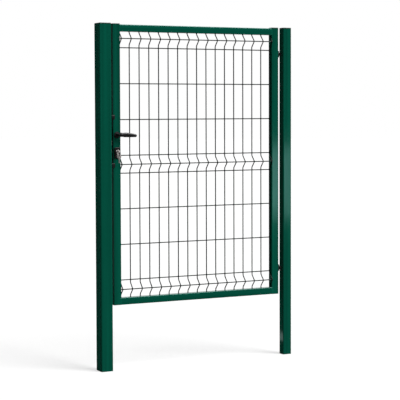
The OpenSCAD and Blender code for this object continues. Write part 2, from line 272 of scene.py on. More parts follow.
def make(name, part, finish, body, replaces=(), smooth=35):
    """Turns a part into a piece on a body. Edges sharper than smooth, in degrees, stay sharp."""
    mesh = bpy.data.meshes.new(name)
    mesh.from_pydata([v[:] for v in part[0]], [], part[1])
    mesh.validate()
    bm = bmesh.new()
    bm.from_mesh(mesh)
    bmesh.ops.recalc_face_normals(bm, faces=bm.faces[:])
    bm.to_mesh(mesh)
    bm.free()
    mesh.shade_smooth()
    mesh.set_sharp_from_angle(angle=math.radians(smooth))
    mesh.materials.append(finishes[finish])
    piece = linked(name, mesh)
    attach(piece, body)
    if replaces:
        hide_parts(*replaces)


# ---------------- materials

class Material:
    """Node material with the few building blocks that all finishes share."""

    def __init__(self, name, roughness, metallic=0.0, specular=0.5):
        self.material = bpy.data.materials.new(name)
        self.material.use_nodes = True
        tree = self.material.node_tree
        self.nodes, self.links = tree.nodes, tree.links
        self.shader = self.nodes["Principled BSDF"]
        self.shader.inputs["Roughness"].default_value = roughness
        self.shader.inputs["Metallic"].default_value = metallic
        self.shader.inputs["Specular IOR Level"].default_value = specular
        self.place = self.nodes.new("ShaderNodeTexCoord").outputs["Object"]

    def stretched(self, scale):
        mapping = self.nodes.new("ShaderNodeMapping")
        mapping.inputs["Scale"].default_value = scale
        self.links.new(self.place, mapping.inputs["Vector"])
        return mapping.outputs["Vector"]

    def noise(self, scale, detail=3.0, stretch=None):
        node = self.nodes.new("ShaderNodeTexNoise")
        node.inputs["Scale"].default_value = scale
        node.inputs["Detail"].default_value = detail
        self.links.new(self.stretched(stretch) if stretch else self.place, node.inputs["Vector"])
        return node.outputs["Fac"]

    def ranged(self, value, low, high, start=0.3, end=0.7):
        node = self.nodes.new("ShaderNodeMapRange")
        for socket, number in (("From Min", start), ("From Max", end), ("To Min", low), ("To Max", high)):
            node.inputs[socket].default_value = number
        self.links.new(value, node.inputs["Value"])
        return node.outputs["Result"]

    def mixed(self, factor, first, second):
        node = self.nodes.new("ShaderNodeMix")
        node.data_type = "RGBA"
        self.links.new(factor, node.inputs["Factor"])
        for socket, colour in (("A", first), ("B", second)):
            entry = [s for s in node.inputs if s.name == socket and s.type == "RGBA"][0]
            if isinstance(colour, tuple):
                entry.default_value = (*colour, 1)
            else:
                self.links.new(colour, entry)
        return [s for s in node.outputs if s.type == "RGBA"][0]

    def colour(self, value):
        self.links.new(value, self.shader.inputs["Base Color"])

    def roughness(self, value):
        self.links.new(value, self.shader.inputs["Roughness"])

    def bump(self, height, strength, distance):
        node = self.nodes.new("ShaderNodeBump")
        node.inputs["Strength"].default_value = strength
        node.inputs["Distance"].default_value = distance
        self.links.new(height, node.inputs["Height"])
        if self.shader.inputs["Normal"].is_linked:
            self.links.new(self.shader.inputs["Normal"].links[0].from_socket, node.inputs["Normal"])
        self.links.new(node.outputs["Normal"], self.shader.inputs["Normal"])


def tinted(colour, factor):
    return tuple(c * factor for c in colour)


def powder_coat(name, colour, roughness, specular, sheen=(1, 1, 1), drawn=None):
    """Glossy powder coat: a faint orange peel, soft clouds of tone and of gloss. On a drawn tube
    the tone also runs in faint streaks along the tube."""
    m = Material(name, roughness, specular=specular)
    m.shader.inputs["Specular Tint"].default_value = (*sheen, 1)
    clouds = m.ranged(m.noise(2.5), 0, 1)
    tone = m.mixed(clouds, tinted(colour, 0.93), tinted(colour, 1.07))
    if drawn:
        streaks = m.ranged(m.noise(1, 2, drawn), 0, 1)
        tone = m.mixed(streaks, tinted(colour, 0.65), tone)
    m.colour(tone)
    m.roughness(m.ranged(m.noise(9), roughness * 0.85, roughness * 1.2))
    m.bump(m.noise(420, 2), 0.25, 0.06 * MM)
    m.bump(m.noise(60, 2), 0.12, 0.4 * MM)
    return m.material


def moulded_plastic(name, colour, roughness, specular=0.4):
    """Moulded plastic with a fine spark-eroded grain."""
    m = Material(name, roughness, specular=specular)
    m.colour(m.mixed(m.ranged(m.noise(35), 0, 1), tinted(colour, 0.85), tinted(colour, 1.2)))
    m.roughness(m.ranged(m.noise(120), roughness * 0.85, roughness * 1.15))
    m.bump(m.noise(1500, 1), 0.3, 0.05 * MM)
    return m.material


def plated_metal(name, colour, roughness, grain=(1, 1, 1), metallic=1.0):
    """Plated or bare metal with fine drawn grain and a cloudy tone."""
    m = Material(name, roughness, metallic=metallic)
    m.colour(m.mixed(m.ranged(m.noise(70), 0, 1), tinted(colour, 0.82), tinted(colour, 1.06)))
    m.roughness(m.ranged(m.noise(220, 4, grain), roughness * 0.7, roughness * 1.35))
    m.bump(m.noise(900, 3, grain), 0.2, 0.04 * MM)
    return m.material


GREEN, GREEN_SHEEN = (0.0014, 0.080, 0.0495), (0.45, 1, 0.95)
COAT_ROUGHNESS, COAT_SPECULAR = 0.12, 0.5
ALONG_Z, ALONG_X = (45, 45, 0.6), (0.6, 45, 45)      # noise scales that draw streaks along an axis

finishes = {
    "green_coat": powder_coat("green_coat", GREEN, COAT_ROUGHNESS, COAT_SPECULAR, GREEN_SHEEN),
    "upright_coat": powder_coat("upright_coat", GREEN, COAT_ROUGHNESS, COAT_SPECULAR, GREEN_SHEEN, ALONG_Z),
    "rail_coat": powder_coat("rail_coat", GREEN, COAT_ROUGHNESS, COAT_SPECULAR, GREEN_SHEEN, ALONG_X),
    "wire_coat": powder_coat("wire_coat", (0.002, 0.009, 0.007), 0.35, 0.25),
    "cap_plastic": moulded_plastic("cap_plastic", (0.005, 0.020, 0.015), 0.42),
    "black_plastic": moulded_plastic("black_plastic", (0.006, 0.006, 0.0065), 0.34),
    "black_steel": powder_coat("black_steel", (0.008, 0.009, 0.009), 0.40, 0.4),
    "zinc_steel": plated_metal("zinc_steel", (0.50, 0.51, 0.52), 0.38),
    "hinge_steel": plated_metal("hinge_steel", (0.05, 0.055, 0.055), 0.42, (1, 1, 1), 0.5),
    "nickel": plated_metal("nickel", (0.80, 0.73, 0.71), 0.45, (1, 6, 1), 0.6),
    "black_rubber": moulded_plastic("black_rubber", (0.012, 0.012, 0.012), 0.75, 0.25),
}
TUBES = {"hinge_post": "upright_coat", "latch_post": "upright_coat", "hinge_stile": "upright_coat",
         "latch_stile": "upright_coat", "top_rail": "rail_coat", "bottom_rail": "rail_coat"}

for row in frame["record"]["subparts"]:
    node = frame["nodes"][row["node"]]
    for material_slot in node.material_slots:
        material_slot.material = finishes[TUBES.get(row["node"], row["material_slot"])]


# ---------------- places from the frame
latch_stile_low, latch_stile_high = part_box("latch_stile")
hinge_stile_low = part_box("hinge_stile")[0]
top_rail_low, top_rail_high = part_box("top_rail")
bottom_rail_low, bottom_rail_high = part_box("bottom_rail")
OPEN_LEFT, OPEN_RIGHT = latch_stile_high.x, hinge_stile_low.x
OPEN_LOW, OPEN_HIGH = bottom_rail_high.z, top_rail_low.z
FACE = -latch_stile_low.y            # half depth of the leaf's tubes
TUBE_R = 4 * MM                      # outer corner radius of the leaf's tubes
POST_R = 6 * MM                      # outer corner radius of the post tubes

# The lock's pieces stand about the axes of the lever and of the key, as the record has them.
joints = {joint["name"]: joint for joint in frame["record"]["behaviour"]["joints"]}
LOCK_X, _, LEVER_Z = joints["handle_turn"]["pos_m"]
KEY_Z = joints["key_turn"]["pos_m"][2]
KEY_TURN = math.radians(joints["key_turn"]["range_deg"][1])    # from upright, when at rest


# ---------------- wire panel
WIRE_R = 3 * MM
WIRE_PITCH = 60 * MM
ROW_PITCH = 200 * MM
FOLD_H = 100 * MM                    # between the outer level wires of a fold
FOLD_SPAN = 68 * MM                  # the bent part of the upright wires
FOLD_D = 32 * MM                     # to the sharp corner, before the bend is rounded
FOLDS = 3
LAP_LOW, LAP_HIGH = 3 * MM, 12 * MM  # what the rails hide of the panel's height
FOOT_BEND, TIP_BEND = 14 * MM, 8 * MM
WELD_OFFSET = 4.8 * MM               # between the centres of two welded wires
END_GAP = 0.3 * MM
CROSS_WELD = (3.5 * MM, 2.4 * MM, 3.5 * MM)          # half sizes of the lump where two wires cross
END_WELD = (2.4 * MM, 4.2 * MM, 4.2 * MM)            # the same where a level wire meets a stile

panel_low, panel_high = OPEN_LOW - LAP_LOW, OPEN_HIGH + LAP_HIGH
flat_height = (panel_high - panel_low - FOLDS * FOLD_H) / (FOLDS - 1)
flat_rows = round(flat_height / ROW_PITCH)
wire_gaps = round((OPEN_RIGHT - OPEN_LEFT) / WIRE_PITCH)
wire_first = OPEN_LEFT + END_GAP + WIRE_R
wire_step = (OPEN_RIGHT - OPEN_LEFT - 2 * (END_GAP + WIRE_R)) / wire_gaps
wire_xs = [wire_first + i * wire_step for i in range(wire_gaps + 1)]
fold_bases = [panel_low + i * (FOLD_H + flat_height) for i in range(FOLDS)]


def upright_path(x):
    """Centre line of an upright wire, from the bottom rail to the top rail."""
    corners, radii = [(x, 0, OPEN_LOW)], [0]
    for base in fold_bases:
        middle = base + FOLD_H / 2
        corners += [(x, 0, middle - FOLD_SPAN / 2), (x, -FOLD_D, middle), (x, 0, middle + FOLD_SPAN / 2)]
        radii += [FOOT_BEND, TIP_BEND, FOOT_BEND]
    return rounded_path(corners + [(x, 0, OPEN_HIGH)], radii + [0])


fold_slope = math.atan(2 * FOLD_D / FOLD_SPAN)
tip_y = -FOLD_D + TIP_BEND * (1 / math.cos(fold_slope) - 1)
level_rows = []                      # (y of the upright there, height)
for base in fold_bases:
    level_rows += [(0, base), (tip_y, base + FOLD_H / 2), (0, base + FOLD_H)]
for base in fold_bases[:-1]:
    level_rows += [(0, base + FOLD_H + k * flat_height / flat_rows) for k in range(1, flat_rows)]
level_rows = sorted(r for r in level_rows if OPEN_LOW + 2 * WIRE_R < r[1] < OPEN_HIGH - 2 * WIRE_R)


def spot(centre, radii, rows=6, sides=10):
    """Small rounded lump, as at a weld."""
    rings = []
    for k in range(rows + 1):
        a = math.pi * k / rows
        r, h = max(math.sin(a), 0.02), -math.cos(a)
        rings.append([Vector(centre) + Vector((radii[0] * r * math.cos(t), radii[1] * r * math.sin(t),
                                               radii[2] * h)) for t in angles(sides)])
    return loft(rings)


def wire_end_collar(x, z, lean):
    """Fillet of weld where an upright wire meets the rail below it (1) or above it (-1)."""
    profile = [(1.75, 0.0), (1.35, 0.5), (1.1, 1.1), (1.0, 2.2)]
    collar = lathe([(r * WIRE_R, h * MM) for r, h in profile], 12)
    return placed(collar, Matrix.Translation((x, 0, z)) @ Matrix.Diagonal((1, 1, lean, 1)))


def wire_panel():
    """Upright wires folded forward, level wires behind them, and the welds between them."""
    uprights = joined(*(sweep(upright_path(x), WIRE_R, 12, X) for x in wire_xs))
    make("upright_wires", uprights, "wire_coat", "leaf", ["mesh_panel"], smooth=50)
    left, right = OPEN_LEFT + END_GAP, OPEN_RIGHT - END_GAP
    levels = [sweep([(left, y + WELD_OFFSET, z), ((left + right) / 2, y + WELD_OFFSET, z),
                     (right, y + WELD_OFFSET, z)], WIRE_R, 12, Z) for y, z in level_rows]
    make("level_wires", joined(*levels), "wire_coat", "leaf", smooth=50)
    welds = [spot((x, y + WELD_OFFSET / 2, z), CROSS_WELD) for x in wire_xs for y, z in level_rows]
    for x in wire_xs:
        welds += [wire_end_collar(x, OPEN_LOW, 1), wire_end_collar(x, OPEN_HIGH, -1)]
    for y, z in level_rows:
        for x in (left, right):
            welds.append(spot((x, y + WELD_OFFSET, z), END_WELD))
    make("wire_welds", joined(*welds), "wire_coat", "leaf", smooth=60)


# ---------------- frame welds
def corner_fill(x, side, face, low, high):
    """Ground weld that fills the groove between a stile's rounded corner and a rail's end."""
    crown = 0.15 * MM
    count = 40
    rings = []
    for k in range(count + 1):
        z = low + (high - low) * k / count
        rounding = max(0, TUBE_R - min(z - low, high - z))
        drop = TUBE_R - math.sqrt(max(0, TUBE_R ** 2 - rounding ** 2))
        wave = crown * (1 + 0.35 * math.sin(k * 1.9))
        outline = [(-side * 0.8 * MM, 0), (side * TUBE_R / 2, wave), (side * (TUBE_R + 0.6 * MM), 0),
                   (side * TUBE_R / 2, -TUBE_R / 2), (-side * 0.2 * MM, -TUBE_R)]
        rings.append([Vector((x + px, face * (FACE + py - drop), z)) for px, py in outline])
    return loft(rings)


def frame_welds():
    """Ground welds on the leaf's faces, and beads inside its corners and under its bottom rail."""
    parts = []
    rails = ((bottom_rail_low.z, bottom_rail_high.z), (top_rail_low.z, top_rail_high.z))
    for x, side in ((OPEN_LEFT, -1), (OPEN_RIGHT, 1)):
        for low, high in rails:
            for face in (-1, 1):
                parts.append(corner_fill(x, side, face, low, high))
        inner = FACE - TUBE_R
        for z in (OPEN_LOW, OPEN_HIGH):
            parts.append(bead((x, -inner, z), (x, inner, z), 2.2 * MM))
        parts.append(bead((x, -inner, bottom_rail_low.z + TUBE_R * 0.3),
                          (x, inner, bottom_rail_low.z + TUBE_R * 0.3), 1.8 * MM))
    make("frame_welds", joined(*parts), "green_coat", "leaf")


# ---------------- caps
CAP_T = 6 * MM                       # height of a cap's head over the tube's end
CAP_CROWN = 4 * MM                   # how far in the crowned top begins
PLUG_GAP = 3.2 * MM                  # between a cap's outside and its plug


def cap(node, name, body, radius):
    """Moulded cap: a flange over the tube's end, a crowned top and a plug with a tapered lead."""
    low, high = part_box(node)
    centre = (low + high) / 2
    width, depth = high.x - low.x, high.y - low.y
    tube_top = high.z - CAP_T

    def ring(w, d, edge, height, steps=8):
        return [Vector((centre.x + x, centre.y + y, height))
                for x, y in rounded_rectangle(w, d, edge, steps=steps)]

    profile = [(0.5, 0.0), (0.15, 0.35), (0.0, 0.9), (0.0, 2.6), (0.25, 3.5), (0.9, 4.3),
               (2.0, 4.9), (4.0, 5.3)]                   # (inwards, up) in mm
    rings = [ring(width - 2 * indent * MM, depth - 2 * indent * MM,
                  max(1.2 * MM, radius - indent * 0.8 * MM), tube_top + h * MM)
             for indent, h in profile]
    for share, h in ((0.7, 5.65), (0.4, 5.9), (0.1, 6.0)):
        w, d = (width - 2 * CAP_CROWN) * share, (depth - 2 * CAP_CROWN) * share
        rings.append(ring(w, d, min(w, d) * 0.25, tube_top + h * MM))
    plug = [ring(width - 2 * PLUG_GAP - taper, depth - 2 * PLUG_GAP - taper, 2 * MM, h, 3)
            for h, taper in ((low.z, 1.2 * MM), (low.z + 3 * MM, 0), (tube_top + 0.2 * MM, 0))]
    make(name, joined(loft(rings), loft(plug)), "cap_plastic", body, [node])


# ---------------- hinges
THREAD_PITCH, THREAD_DEPTH = 1.5 * MM, 0.7 * MM
PIN_R = 5 * MM                       # the pin's, the eye's bore and the bolt's rod
LUG_T, WEB_T = 7 * MM, 3 * MM        # thicknesses of a bracket's lugs and web
PIN_HEAD_T = 2.5 * MM
BRACKET_BEAD_R = 2.2 * MM


def threaded_rod(radius, length, sides=20):
    """Rod along local Z with a helical thread."""
    rows = round(length / (THREAD_PITCH / 4))

    def crest(z, i):
        phase = (z / THREAD_PITCH - i / sides) % 1
        return radius - THREAD_DEPTH * abs(2 * phase - 1)

    heights = [length * k / rows for k in range(rows + 1)]
    return loft([[polar(crest(z, i), a, z) for i, a in enumerate(angles(sides))] for z in heights])


def hex_nut(across_flats, height, bore, sides=48):
    """Nut about local Z with turned-down corners and a bore."""
    half = across_flats / 2
    corner = half / math.cos(math.pi / 6)
    turned = corner - half
    rims = [(half * 0.97, 0), (half, 0.15 * MM), (corner, turned * 0.6), (corner, height - turned * 0.6),
            (half, height - 0.15 * MM), (half * 0.97, height)]
    bores = [(bore + 0.8 * MM, height), (bore, height - 0.8 * MM), (bore, 0.8 * MM), (bore + 0.8 * MM, 0)]
    rings = [[polar(min(r, hexagon_radius(half, a)), a, h) for r, h in rims]
             + [polar(r, a, h) for r, h in bores] for a in angles(sides)]
    return loft(rings, closed=True)


def rounded_ring(inner, outer, low, high, edge):
    """Loop of (radius, height) points for ring_lathe, with rounded edges."""
    corners = [((outer - edge, low + edge), -90, 0), ((outer - edge, high - edge), 0, 90),
               ((inner + edge, high - edge), 90, 180), ((inner + edge, low + edge), 180, 270)]
    return [p for c, a, b in corners for p in arc(c, edge, a, b, 3)]


def hinge(prefix):
    """One hinge: the eye bolt and its nut on the post, the bracket and the pin on the leaf."""
    eye_low, eye_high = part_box(prefix + "_eye_bolt")
    bracket_low, bracket_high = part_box(prefix + "_hinge_bracket")
    pin_low, pin_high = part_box(prefix + "_hinge_pin")
    nut_low, nut_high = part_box(prefix + "_lock_nut")
    axis = Vector(((pin_low.x + pin_high.x) / 2, (pin_low.y + pin_high.y) / 2, 0))
    middle = (eye_low.z + eye_high.z) / 2
    eye_r = (eye_high.y - eye_low.y) / 2

    eye = ring_lathe(rounded_ring(PIN_R + 0.05 * MM, eye_r, eye_low.z, eye_high.z, 1.2 * MM))
    eye = placed(eye, Matrix.Translation(axis))
    along = axes((axis.x, axis.y, middle), Z, -Y, X)
    neck = placed(lathe([(PIN_R * wide, eye_r * out)
                         for wide, out in ((1.42, 0.72), (1.27, 0.95), (1.07, 1.12), (1.0, 1.2))], 24), along)
    rod_start = eye_r * 1.18
    rod = threaded_rod(PIN_R, eye_high.x - axis.x - rod_start)
    rod = placed(rod, along @ Matrix.Translation((0, 0, rod_start)))
    make(prefix + "_eye_and_thread", joined(eye, neck, rod), "hinge_steel", "posts",
         [prefix + "_eye_bolt"])

    nut = hex_nut(nut_high.y - nut_low.y, nut_high.x - nut_low.x, PIN_R + 0.1 * MM)
    nut_place = axes((nut_low.x, axis.y, middle), Z, -Y, X)
    make(prefix + "_chamfered_nut", placed(nut, nut_place), "hinge_steel", "posts",
         [prefix + "_lock_nut"], smooth=25)

    lug_r = (bracket_high.y - bracket_low.y) / 2
    reach = axis.x - bracket_low.x
    outline = [(-reach, -lug_r)] + arc((0, 0), lug_r, -90, 90, 24) + [(-reach, lug_r)]
    hole = circle(PIN_R + 0.1 * MM)[::-1]
    lugs = [placed(plate([outline, hole], LUG_T, 0.9 * MM), Matrix.Translation((axis.x, axis.y, z)))
            for z in (bracket_low.z + LUG_T / 2, bracket_high.z - LUG_T / 2)]
    web = block(bracket_low, (bracket_low.x + WEB_T, bracket_high.y, bracket_high.z), 0.8 * MM)
    beads = [bead((bracket_low.x, bracket_low.y + MM, z), (bracket_low.x, bracket_high.y - 4 * MM, z),
                  BRACKET_BEAD_R) for z in (bracket_low.z, bracket_high.z)]
    beads.append(bead((bracket_low.x, bracket_low.y, bracket_low.z + MM),
                      (bracket_low.x, bracket_low.y, bracket_high.z - MM), BRACKET_BEAD_R))
    make(prefix + "_bracket_and_welds", joined(web, *lugs, *beads), "black_steel", "leaf",
         [prefix + "_hinge_bracket"])

    head_r = (pin_high.x - pin_low.x) / 2
    top = pin_high.z
    under = top - PIN_HEAD_T
    pin = lathe([(PIN_R - 1.2 * MM, pin_low.z), (PIN_R, pin_low.z + 1.2 * MM), (PIN_R, under),
                 (head_r - 0.3 * MM, under), (head_r, under + 0.4 * MM), (head_r, top - 1.1 * MM),
                 (head_r - 1.1 * MM, top - 0.3 * MM), (head_r * 0.5, top), (head_r * 0.1, top)], 40)
    make(prefix + "_domed_pin", placed(pin, Matrix.Translation(axis)), "hinge_steel", "leaf",
         [prefix + "_hinge_pin"], smooth=30)


# ---------------- lock furniture
def superellipse(half_w, half_h, power, count=28):
    """Outline from an ellipse (power 2) towards a rectangle (higher powers), counterclockwise."""
    points = []
    for a in angles(count):
        c, s = math.cos(a), math.sin(a)
        points.append((half_w * math.copysign(abs(c) ** (2 / power), c),
                       half_h * math.copysign(abs(s) ** (2 / power), s)))
    return points


def eased(t):
    """Rises from 0 to 1 with a soft start and end."""
    return t * t * (3 - 2 * t)


def lever(side, node, name):
    """Cast lever: a round neck that turns through an elbow into a flattened grip. The grip's
    lower edge is level, its upper edge arched, and it thins out to a rounded tip."""
    low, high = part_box(node)
    root_y = low.y if side > 0 else high.y
    grip_d, neck_r, elbow = 14 * MM, 8 * MM, 14 * MM
    half_grip = LEVER_Z - low.z
    reach = high.y - low.y - grip_d / 2
    length = high.x - LOCK_X
    crest = 0.35 * length            # where the grip is highest
    root_share = 0.80                # the grip's height at the elbow, against its crest
    tip_r = 0.32 * 2 * half_grip
    end = length - tip_r
    crest_half, tip_half = neck_r - MM, neck_r - 2.4 * MM      # half depths along the grip
    neck_power, grip_power = 2.0, 2.5                          # from round to nearly flat sides
    neck_outs = [out * MM for out in (0, 4, 8, 12, 16)]
    elbow_steps, rise_steps, fall_steps, tip_steps = 8, 6, 12, 8

    # A station is: along X, out from the stile, turn, half depth, lower, upper, power.
    stations = [(0, out, 0, neck_r, -neck_r, neck_r, neck_power) for out in neck_outs]
    for k in range(1, elbow_steps + 1):
        t = k / elbow_steps
        a = math.radians(90 * t)
        half = neck_r + (root_share * half_grip - neck_r) * t
        stations.append((elbow * (1 - math.cos(a)), reach - elbow + elbow * math.sin(a), 90 * t,
                         neck_r + (crest_half - neck_r) * t, -half, half,
                         neck_power + (grip_power - neck_power) * t))
    for k in range(1, rise_steps + 1):
        t = k / rise_steps
        half = half_grip * (root_share + (1 - root_share) * eased(t))
        stations.append((elbow + (crest - elbow) * t, reach, 90, crest_half, -half, half, grip_power))
    for k in range(1, fall_steps + 1):
        t = k / fall_steps
        upper = half_grip - (2 * half_grip - 2 * tip_r) * t ** 1.5
        stations.append((crest + (end - crest) * t, reach, 90, crest_half + (tip_half - crest_half) * t,
                         -half_grip, upper, grip_power))
    tip_z = tip_r - half_grip
    for k in range(1, tip_steps + 1):
        a = math.radians(90 * k / tip_steps)
        shrink = max(math.cos(a), 0.04)
        stations.append((end + tip_r * math.sin(a), reach, 90, tip_half * shrink,
                         tip_z - tip_r * shrink, tip_z + tip_r * shrink, grip_power))
    rings = []
    for along, out, turn, half_d, lower, upper, power in stations:
        a = math.radians(turn)
        centre = Vector((LOCK_X + along, root_y + side * out, LEVER_Z + (lower + upper) / 2))
        across = Vector((math.cos(a), -side * math.sin(a), 0))
        rings.append([centre + u * across + v * Z
                      for u, v in superellipse(half_d, (upper - lower) / 2, power)])
    screw_r, screw_out = 2.5 * MM, 12 * MM
    screw_place = axes((LOCK_X, root_y + side * screw_out, LEVER_Z - neck_r), X, -Y, -Z)
    screw = placed(socket_screw(screw_r), screw_place)
    make(name, joined(loft(rings), screw), "black_plastic", "handle", [node], smooth=60)


def rose(side, node, name):
    """Round rose with a turned edge and a raised collar round the lever's neck."""
    low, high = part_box(node)
    radius = (high.x - low.x) / 2
    depth = high.y - low.y
    bore = 8.2 * MM
    profile = [(radius - 0.4 * MM, 0), (radius, 0.4 * MM), (radius, depth - 3.2 * MM),
               (radius - 0.35 * MM, depth - 2.3 * MM), (radius - 1.2 * MM, depth - 1.5 * MM),
               (radius - 2.6 * MM, depth - 1.2 * MM), (bore + 2.4 * MM, depth - 1.0 * MM),
               (bore + 1.8 * MM, depth - 0.2 * MM), (bore + 1.2 * MM, depth), (bore + 0.3 * MM, depth),
               (bore, depth - 0.4 * MM), (bore, 0)]
    part = ring_lathe(profile, 56)
    base = low.y if side > 0 else high.y
    part = placed(part, axes((LOCK_X, base, LEVER_Z), X, Z * -side, Y * side))
    make(name, part, "black_plastic", "leaf", [node], smooth=30)


BARREL_R, BARREL_FOOT_R, BARREL_H = 8.5 * MM, 5 * MM, 33 * MM


def barrel_outline(gap=0.0, steps=20):
    """Euro-profile outline about the plug's axis, counterclockwise."""
    r, foot = BARREL_R + gap, BARREL_FOOT_R + gap
    meet = math.degrees(math.acos(foot / r))
    foot_y = BARREL_R + BARREL_FOOT_R - BARREL_H
    return arc((0, 0), r, -meet, 180 + meet, 2 * steps) + arc((0, foot_y), foot, 180, 360, steps)


def escutcheon(node, name):
    """Rounded plate with an opening for the cylinder."""
    low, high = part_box(node)
    corner_r, edge_r, gap = 8 * MM, 2 * MM, 0.2 * MM
    outline = rounded_rectangle(high.x - low.x, high.z - low.z, corner_r,
                                (0, (low.z + high.z) / 2 - KEY_Z), steps=10)
    hole = barrel_outline(gap)[::-1]
    part = plate([outline, hole], high.y - low.y, edge_r, 5)
    part = placed(part, axes((LOCK_X, (low.y + high.y) / 2, KEY_Z), X, Z, -Y))
    make(name, part, "black_plastic", "leaf", [node], smooth=30)


def keyway_plug(front, back, radius, turn):
    """Round plug about the key's axis, with a keyway through it."""
    keyway_w, keyway_h, corner_r = 2.8 * MM, 9 * MM, 0.8 * MM
    keyway = rounded_rectangle(keyway_w, keyway_h, corner_r, steps=2)[::-1]
    plug = plate([circle(radius), keyway], back - front, 0.4 * MM, 2)
    place = Matrix.Translation((LOCK_X, (front + back) / 2, KEY_Z)) @ Matrix.Rotation(-turn, 4, "Y")
    return placed(plug, place @ axes((0, 0, 0), X, Z, -Y))


def lock_cylinder():
    """Euro-profile barrel with a plug in its back, and the front plug that turns with the key."""
    low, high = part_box("lock_cylinder")
    plug_low, plug_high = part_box("key_plug")
    plug_r = (plug_high.x - plug_low.x) / 2
    bore = circle(plug_r + 0.05 * MM)[::-1]
    body = plate([barrel_outline(), bore], high.y - low.y, 0.5 * MM, 2)
    body = placed(body, axes((LOCK_X, (low.y + high.y) / 2, KEY_Z), X, Z, -Y))
    back_plug = keyway_plug(plug_high.y + MM, high.y, plug_r + 0.05 * MM, 0)
    make("cylinder_body", joined(body, back_plug), "nickel", "leaf", ["lock_cylinder"], smooth=30)
    front_plug = keyway_plug(plug_low.y, plug_high.y, plug_r, KEY_TURN)
    make("turning_plug", front_plug, "nickel", "key", ["key_plug"], smooth=30)


KEY_T, BLADE_H, EYELET_R, EYELET_RIM = 2.2 * MM, 8 * MM, 4 * MM, 2.5 * MM
SPARE_TWIST = math.radians(45)


def flat_key(bow_r, reach, cuts):
    """Key in its own XY plane: the bow's centre at the origin, the blade along +X."""
    half = BLADE_H / 2
    neck = math.degrees(math.asin(half * 1.25 / bow_r))
    bow = arc((0, 0), bow_r, neck, 360 - neck, 48)
    lower = [(bow_r + 1.2 * MM, -half * 1.1), (bow_r + 2.0 * MM, -half)]
    tip = [(reach - 2 * MM, -half), (reach, -half * 0.2), (reach - 1.2 * MM, half * 0.5)]
    upper = []
    first = bow_r + 3 * MM
    pitch = (reach - 4 * MM - first) / max(1, len(cuts))
    for k in range(len(cuts) - 1, -1, -1):
        x = first + pitch * (k + 0.5)
        upper += [(x + pitch * 0.5, half), (x + pitch * 0.2, half - cuts[k] * MM),
                  (x - pitch * 0.2, half - cuts[k] * MM)]
    upper += [(bow_r + 2.0 * MM, half), (bow_r + 1.2 * MM, half * 1.1)]
    hole = circle(EYELET_R, 28, (EYELET_R + EYELET_RIM - bow_r, 0))[::-1]
    return plate([bow + lower + tip + upper, hole], KEY_T, 0.4 * MM, 2)


def keys():
    """Key in the lock, split ring through its bow, and the spare key that hangs on the ring."""
    low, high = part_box("key")
    spare_low, spare_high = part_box("spare_key")
    ring_low, ring_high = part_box("key_ring")
    spare_r = (spare_high.x - spare_low.x - KEY_T * math.sin(SPARE_TWIST)) / 2 / math.cos(SPARE_TWIST)
    bow_r = spare_r + MM

    up = Vector((-math.sin(KEY_TURN), 0, math.cos(KEY_TURN)))
    upright = axes((LOCK_X, low.y + bow_r, KEY_Z), Y, up, Y.cross(up))
    inserted = flat_key(bow_r, high.y - low.y - bow_r + 1.5 * MM, [])
    make("lock_key", placed(inserted, upright), "nickel", "key", ["key"], smooth=30)

    centre = Vector((LOCK_X, (spare_low.y + spare_high.y) / 2, spare_high.z - spare_r))
    across = Vector((-math.sin(SPARE_TWIST), math.cos(SPARE_TWIST), 0))
    spare = flat_key(spare_r, centre.z - spare_low.z, [1.2, 2.4, 0.8, 2.0, 1.4])
    make("hanging_key", placed(spare, axes(centre, -Z, across, (-Z).cross(across))), "nickel", "key",
         ["spare_key"], smooth=30)

    wire = (ring_high.y - ring_low.y) / 2
    ring_r = (ring_high.x - ring_low.x) / 2 - wire
    centre = (ring_low + ring_high) / 2
    turns, steps = 2, 72
    path = []
    for k in range(turns * steps - 6):
        a = TAU * k / steps
        shift = wire * 0.5 * (2 * k / (turns * steps) - 1)
        path.append(centre + Vector((ring_r * math.cos(a), shift, ring_r * math.sin(a))))
    make("split_ring", sweep(path, wire * 0.5, 8, Y), "zinc_steel", "key", ["key_ring"], smooth=60)


def socket_screw(radius, sides=24):
    """Screw head about local Z, its face just over zero, with a hexagon socket."""
    rings = [[polar(r, a, h) for a in angles(sides)]
             for r, h in ((radius * 0.5, -radius * 0.8), (radius * 0.95, -radius * 0.12), (radius, 0),
                          (radius * 0.9, 0.05 * MM))]
    rings += [[polar(hexagon_radius(radius * 0.5, a), a, h) for a in angles(sides)]
              for h in (0.05 * MM, -radius * 0.5)]
    return loft(rings)


